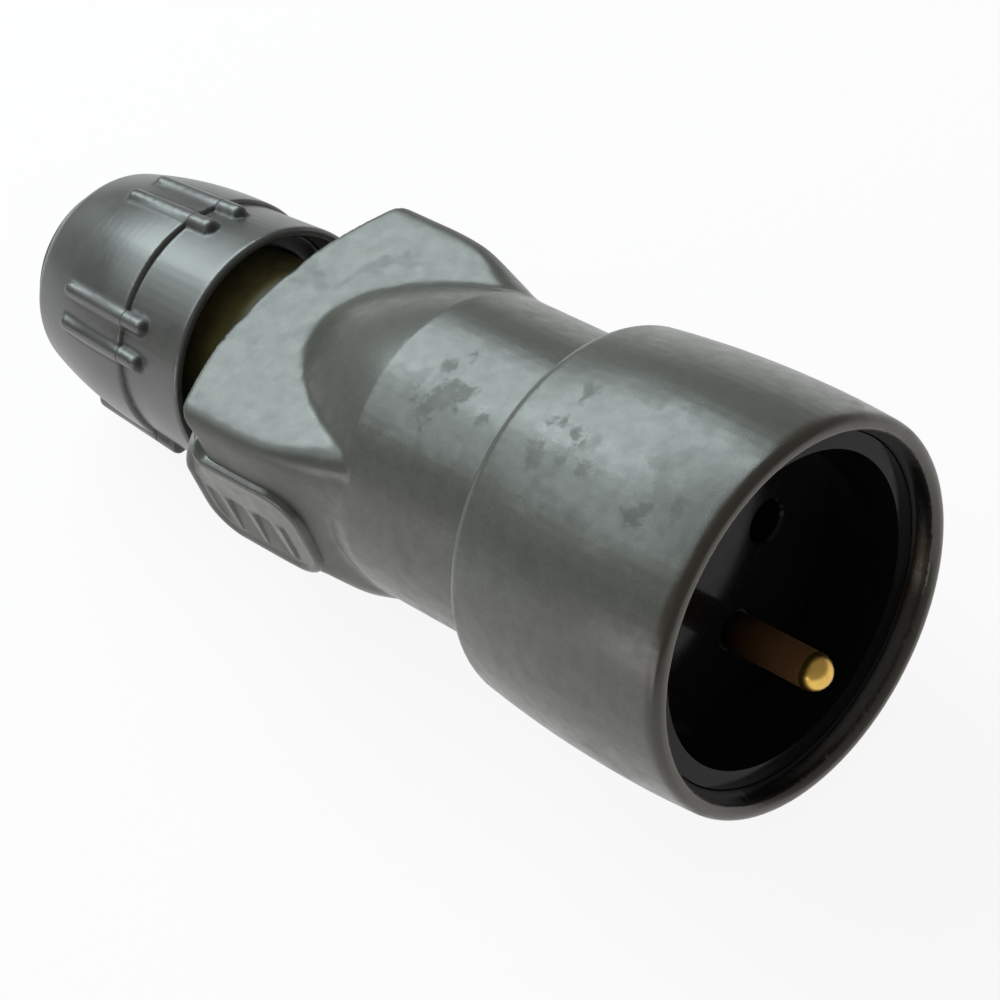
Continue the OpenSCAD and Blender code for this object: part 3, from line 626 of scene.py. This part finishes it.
def nitrile_rubber(tree):
    """Nitrile rubber: black, matt, with talc left in its grain."""
    c = colours()
    place = add_node(tree, "TexCoord").outputs["Object"]
    grain = add_node(tree, "TexNoise", {"Scale": 2200.0, "Detail": 3.0, "Roughness": 0.6}, {"Vector": place})
    talc = add_node(tree, "MapRange", {"From Min": 0.5, "From Max": 0.8, "To Max": 0.35}, {"Value": grain})
    body = add_node(tree, "Mix", {"data_type": "RGBA", 6: rgba(c.seal), 7: rgba(c.bloom)}, {0: talc})
    bump = add_node(tree, "Bump", {"Strength": 0.3, "Distance": 0.00004}, {"Height": grain})
    shader = add_node(tree, "BsdfPrincipled", {"IOR": 1.5, "Roughness": 0.6},
                      {"Base Color": body, "Normal": bump})
    add_node(tree, "OutputMaterial", None, {"Surface": shader})


def tool_lines(tree, along):
    """The bump of turned brass: tool lines 0.15 mm apart across the axis."""
    line = add_node(tree, "Math", {"operation": "MULTIPLY", 1: 2 * math.pi / 0.00015}, {0: along})
    line = add_node(tree, "Math", {"operation": "SINE"}, {0: line})
    return add_node(tree, "Bump", {"Strength": 0.15, "Distance": 0.000008}, {"Height": line})


def polished_pin_brass(tree):
    """Turned brass: its domed tip is wiped bright by plugs, and the shaft behind it has browned and is
    painted darker towards its foot as shade deep in the well.
    """
    c = colours()
    place = add_node(tree, "TexCoord").outputs["Object"]
    along = along_axis(tree, place)
    cloud = add_node(tree, "TexNoise", {"Scale": 400.0, "Detail": 4.0, "Roughness": 0.65}, {"Vector": place})
    wiped = add_node(tree, "MapRange", {"From Min": -0.0034, "From Max": -0.0026}, {"Value": along})
    dirt = add_node(tree, "MapRange", {"From Min": 0.35, "From Max": 0.7, "To Max": 0.35}, {"Value": cloud})
    keep = add_node(tree, "Math", {"operation": "SUBTRACT", "use_clamp": True}, {0: wiped, 1: dirt})
    # towards its foot the shaft is painted darker: painted shade deep in the well
    depth = add_node(tree, "MapRange", {"From Min": -0.0145, "From Max": -0.0060}, {"Value": along})
    shaft = add_node(tree, "Mix", {"data_type": "RGBA", 6: rgba(c.foot_shade), 7: rgba(c.tarnish)},
                     {0: depth})
    body = add_node(tree, "Mix", {"data_type": "RGBA", 7: rgba(c.pin)}, {0: keep, 6: shaft})
    rough = add_node(tree, "MapRange", {"To Min": 0.45, "To Max": 0.28}, {"Value": keep})
    metal = add_node(tree, "MapRange", {"From Max": 0.6, "To Min": 0.5}, {"Value": keep})
    bump = tool_lines(tree, along)
    shader = add_node(tree, "BsdfPrincipled", None,
                      {"Base Color": body, "Metallic": metal, "Roughness": rough, "Normal": bump})
    add_node(tree, "OutputMaterial", None, {"Surface": shader})


def machined_brass(tree):
    """Turned brass of the hidden contacts: bright, with brown stains and fine tool lines."""
    c = colours()
    place = add_node(tree, "TexCoord").outputs["Object"]
    cloud = add_node(tree, "TexNoise", {"Scale": 400.0, "Detail": 4.0, "Roughness": 0.65}, {"Vector": place})
    stain = add_node(tree, "MapRange", {"From Min": 0.45, "From Max": 0.75, "To Max": 0.7}, {"Value": cloud})
    body = add_node(tree, "Mix", {"data_type": "RGBA", 6: rgba(c.brass), 7: rgba(c.tarnish)}, {0: stain})
    rough = add_node(tree, "MapRange", {"From Min": 0.3, "From Max": 0.7, "To Min": 0.22, "To Max": 0.38},
                     {"Value": cloud})
    metal = add_node(tree, "MapRange", {"From Max": 0.7, "To Min": 1.0, "To Max": 0.7}, {"Value": stain})
    bump = tool_lines(tree, along_axis(tree, place))
    shader = add_node(tree, "BsdfPrincipled", None,
                      {"Base Color": body, "Metallic": metal, "Roughness": rough, "Normal": bump})
    add_node(tree, "OutputMaterial", None, {"Surface": shader})


def zinc_plated_steel(tree):
    """Zinc-plated steel: pale grey metal with a faint cloudy passivation."""
    c = colours()
    place = add_node(tree, "TexCoord").outputs["Object"]
    cloud = add_node(tree, "TexNoise", {"Scale": 700.0, "Detail": 4.0, "Roughness": 0.6}, {"Vector": place})
    yellow = add_node(tree, "MapRange", {"From Min": 0.4, "From Max": 0.75, "To Max": 0.4}, {"Value": cloud})
    body = add_node(tree, "Mix", {"data_type": "RGBA", 6: rgba(c.steel), 7: rgba(c.brass)}, {0: yellow})
    rough = add_node(tree, "MapRange", {"From Min": 0.3, "From Max": 0.7, "To Min": 0.24, "To Max": 0.42},
                     {"Value": cloud})
    shader = add_node(tree, "BsdfPrincipled", {"Metallic": 1.0}, {"Base Color": body, "Roughness": rough})
    add_node(tree, "OutputMaterial", None, {"Surface": shader})


def pale_floor(tree):
    """Matt pale floor: white to the eye and in reflections, and a plain floor that keeps the shadow."""
    path = add_node(tree, "LightPath")
    seen = path.outputs["Is Camera Ray"]
    for kind in ("Is Glossy Ray", "Is Transmission Ray"):
        seen = add_node(tree, "Math", {"operation": "MAXIMUM"}, {0: seen, 1: path.outputs[kind]})
    share = add_node(tree, "Math", {"operation": "MULTIPLY", 1: 0.9}, {0: seen})
    matt = add_node(tree, "BsdfDiffuse", {"Color": rgba(colours().floor)})
    white = add_node(tree, "Emission", {"Color": (1, 1, 1, 1), "Strength": 1.0})
    both = add_node(tree, "MixShader", None, {0: share, 1: matt, 2: white})
    add_node(tree, "OutputMaterial", None, {"Surface": both})


# Operators

class SOCKET_OT_housing(bpy.types.Operator):
    """Wraps the rubber housing in an even skin whose hollows are softly filleted"""
    bl_idname = "socket.housing"
    bl_label = "Rubber housing"

    def execute(self, context):
        s = sizes()
        skin = even_copy("housing", "rubber_housing", s.rubber_depth)
        weight_group(skin, "hollow", crease_weights(skin.data))
        smooth(skin, "soft hollows", s.crease_passes, "hollow")
        place = axis_points(skin.data)
        soften_rim(place, s.rim_set / MM)
        reshape_corners(place)
        flatten_pads(place)
        move_points(skin.data, place)
        smooth(skin, "soft edges", s.edge_passes)
        thin_out(skin)
        # the bloom is thinned on the block's sides, which darkens them
        place = axis_points(skin.data)
        thinned_sides = fade(np.abs(place[:, 1]), 17.5, 20.5) * fade(-place[:, 2], 58.0, 66.0)
        surface_layer(skin.data, "thinned_sides", thinned_sides)
        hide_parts("housing")
        settle(skin, bloomed_rubber, 60)
        return {"FINISHED"}


class SOCKET_OT_pads(bpy.types.Operator):
    """Models the beaded grip pad with its louvred ribs once, and sets a copy on each side"""
    bl_idname = "socket.pads"
    bl_label = "Grip pads"

    def execute(self, context):
        bpy.ops.object.select_all(action="DESELECT")
        rows, columns = PAD_POINTS
        bpy.ops.mesh.primitive_grid_add(x_subdivisions=rows, y_subdivisions=columns, size=2.0)
        pad = context.active_object
        pad.name = "grip_pad_left"
        shape_pad(pad.data, sizes().pad_bead / MM)
        only(pad)
        bpy.ops.object.mode_set(mode="EDIT")
        bpy.ops.mesh.select_mode(type="EDGE")
        bpy.ops.mesh.select_all(action="DESELECT")
        bpy.ops.mesh.select_non_manifold(extend=False)
        bpy.ops.mesh.edge_face_add()
        bpy.ops.mesh.select_all(action="SELECT")
        bpy.ops.mesh.normals_make_consistent(inside=False)
        bpy.ops.object.mode_set(mode="OBJECT")
        smooth(pad, "soft edges", 2)
        settle(pad, bloomed_rubber, 50)

        twin = bpy.data.objects.new("grip_pad_right", pad.data.copy())
        context.scene.collection.objects.link(twin)
        place = axis_points(twin.data)
        place[:, 1] *= -1
        move_points(twin.data, place)
        only(twin)
        bpy.ops.object.mode_set(mode="EDIT")
        bpy.ops.mesh.select_all(action="SELECT")
        bpy.ops.mesh.flip_normals()
        bpy.ops.object.mode_set(mode="OBJECT")
        settle(twin, bloomed_rubber, 50)
        return {"FINISHED"}


class SOCKET_OT_nut(bpy.types.Operator):
    """Gives the gland nut the soft moulded edges of its ribs, step and skirt"""
    bl_idname = "socket.nut"
    bl_label = "Gland nut"

    def execute(self, context):
        s = sizes()
        skin = even_copy("gland_nut", "gland_nut_skin", s.nut_depth)
        place = axis_points(skin.data)
        lift_ribs(place, s.rib_lift / MM)
        move_points(skin.data, place)
        smooth(skin, "soft edges", s.nut_passes)
        thin_out(skin)
        # the painted shade by the ribs is stored on the nut for its material
        surface_layer(skin.data, "painted_shade", rib_shade(axis_points(skin.data)))
        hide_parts("gland_nut")
        settle(skin, satin_polyamide, 60)
        return {"FINISHED"}


class SOCKET_OT_insert(bpy.types.Operator):
    """Finishes the black insert, its cover and the cover's screws"""
    bl_idname = "socket.insert"
    bl_label = "Insert"

    def execute(self, context):
        finish_node("socket_insert", "insert_cup", glossy_black_plastic)
        finish_node("insert_cover", "insert_back", glossy_black_plastic)
        for side in ("left", "right"):
            finish_node(f"cover_screw_{side}", f"back_screw_{side}", zinc_plated_steel)
        return {"FINISHED"}


class SOCKET_OT_contacts(bpy.types.Operator):
    """Finishes the earth pin, the contacts, their clips, terminals and screws"""
    bl_idname = "socket.contacts"
    bl_label = "Contacts"

    def execute(self, context):
        finish_node("earth_pin", "earth_contact_pin", polished_pin_brass)
        finish_node("earth_terminal", "earth_block", machined_brass)
        for pole in ("line", "neutral"):
            finish_node(f"contact_{pole}", f"sleeve_{pole}", machined_brass)
            finish_node(f"contact_clip_{pole}", f"spring_{pole}", zinc_plated_steel)
        for pole in ("line", "neutral", "earth"):
            finish_node(f"terminal_screw_{pole}", f"clamp_screw_{pole}", zinc_plated_steel)
        return {"FINISHED"}


class SOCKET_OT_gland(bpy.types.Operator):
    """Finishes the gland spigot, collet, grommet and slip ring"""
    bl_idname = "socket.gland"
    bl_label = "Cable gland"

    def execute(self, context):
        finish_node("gland_spigot", "spigot_body", olive_moulded_plastic)
        finish_node("clamp_collet", "clamp_fingers", olive_moulded_plastic)
        finish_node("sealing_grommet", "cable_seal_ring", nitrile_rubber)
        finish_node("slip_ring", "slip_washer", satin_polyamide)
        return {"FINISHED"}


class SOCKET_OT_stage(bpy.types.Operator):
    """Sets a pale floor, an even room, a large softbox behind the socket and the camera"""
    bl_idname = "socket.stage"
    bl_label = "Stage"

    def execute(self, context):
        c, s = colours(), sizes()
        scene = context.scene
        bpy.ops.object.select_all(action="DESELECT")
        bpy.ops.mesh.primitive_plane_add(size=6.0, location=(0, 0, 0))
        floor = context.active_object
        floor.name = "stage_floor"
        bpy.ops.object.mode_set(mode="EDIT")
        bpy.ops.mesh.subdivide(number_cuts=3)
        bpy.ops.object.mode_set(mode="OBJECT")
        floor.data.materials.append(finish(pale_floor))

        world = bpy.data.worlds.new("studio")
        scene.world = world
        world.use_nodes = True
        tree = world.node_tree
        tree.nodes.clear()
        room = add_node(tree, "Background", {"Color": rgba(c.room), "Strength": s.room_level})
        add_node(tree, "OutputWorld", None, {"Surface": room})

        # a softbox and its dimmer skirt, whose sheen runs along the top of every round part
        self.lamp("softbox", s.key_power, c.key, 0.69, 0.48, (-0.64, 0.29, 0.66))
        self.lamp("skirt", 0.5 * s.key_power, c.key, 0.69, 0.48, (-0.64, -0.21, 0.68))
        self.lamp("side_fill", s.fill_power, c.room, 0.8, 0.3, (-0.15, -1.0, 0.16))

        scene.view_settings.view_transform = "Standard"
        lens = bpy.data.cameras.new("camera")
        camera = bpy.data.objects.new("camera", lens)
        scene.collection.objects.link(camera)
        lens.sensor_width = 36.0
        lens.lens = s.lens
        lens.clip_start, lens.clip_end = 0.01, 20.0
        camera.location = (0.230731, -0.147396, 0.318238)
        camera.rotation_euler = [math.radians(a) for a in (39.6951, 11.7500, 42.4544)]
        scene.camera = camera
        return {"FINISHED"}

    def lamp(self, name, power, colour, width, depth, place):
        """An area lamp that faces the middle of the socket."""
        data = bpy.data.lights.new(name, "AREA")
        data.shape = "RECTANGLE"
        data.color = colour
        data.size, data.size_y, data.energy = width, depth, power
        lamp = bpy.data.objects.new(name, data)
        bpy.context.scene.collection.objects.link(lamp)
        lamp.location = place
        aim = Vector((0.0, 0.0, 0.03)) - Vector(place)
        lamp.rotation_euler = aim.to_track_quat("-Z", "Y").to_euler()


OPERATORS = (SOCKET_OT_housing, SOCKET_OT_pads, SOCKET_OT_nut, SOCKET_OT_insert, SOCKET_OT_contacts,
             SOCKET_OT_gland, SOCKET_OT_stage)


class SOCKET_PT_panel(bpy.types.Panel):
    """Lists the pieces, their sizes and colours"""
    bl_idname = "SOCKET_PT_panel"
    bl_label = "Inline socket"
    bl_space_type = "VIEW_3D"
    bl_region_type = "UI"
    bl_category = "Socket"

    def draw(self, context):
        layout = self.layout
        for operator in OPERATORS:
            layout.operator(operator.bl_idname)
        for group in (context.scene.socket_sizes, context.scene.socket_colours):
            box = layout.box()
            for name in group.bl_rna.properties.keys():
                if name not in ("rna_type", "name"):
                    box.prop(group, name)


CLASSES = (SOCKET_PG_sizes, SOCKET_PG_colours, *OPERATORS, SOCKET_PT_panel)


def register():
    for item in CLASSES:
        bpy.utils.register_class(item)
    bpy.types.Scene.socket_sizes = PointerProperty(type=SOCKET_PG_sizes)
    bpy.types.Scene.socket_colours = PointerProperty(type=SOCKET_PG_colours)


def unregister():
    del bpy.types.Scene.socket_colours
    del bpy.types.Scene.socket_sizes
    for item in reversed(CLASSES):
        bpy.utils.unregister_class(item)


def main():
    register()
    bpy.ops.socket.housing()
    bpy.ops.socket.pads()
    bpy.ops.socket.nut()
    bpy.ops.socket.insert()
    bpy.ops.socket.contacts()
    bpy.ops.socket.gland()
    bpy.ops.socket.stage()


if __name__ == "__main__":
    main()
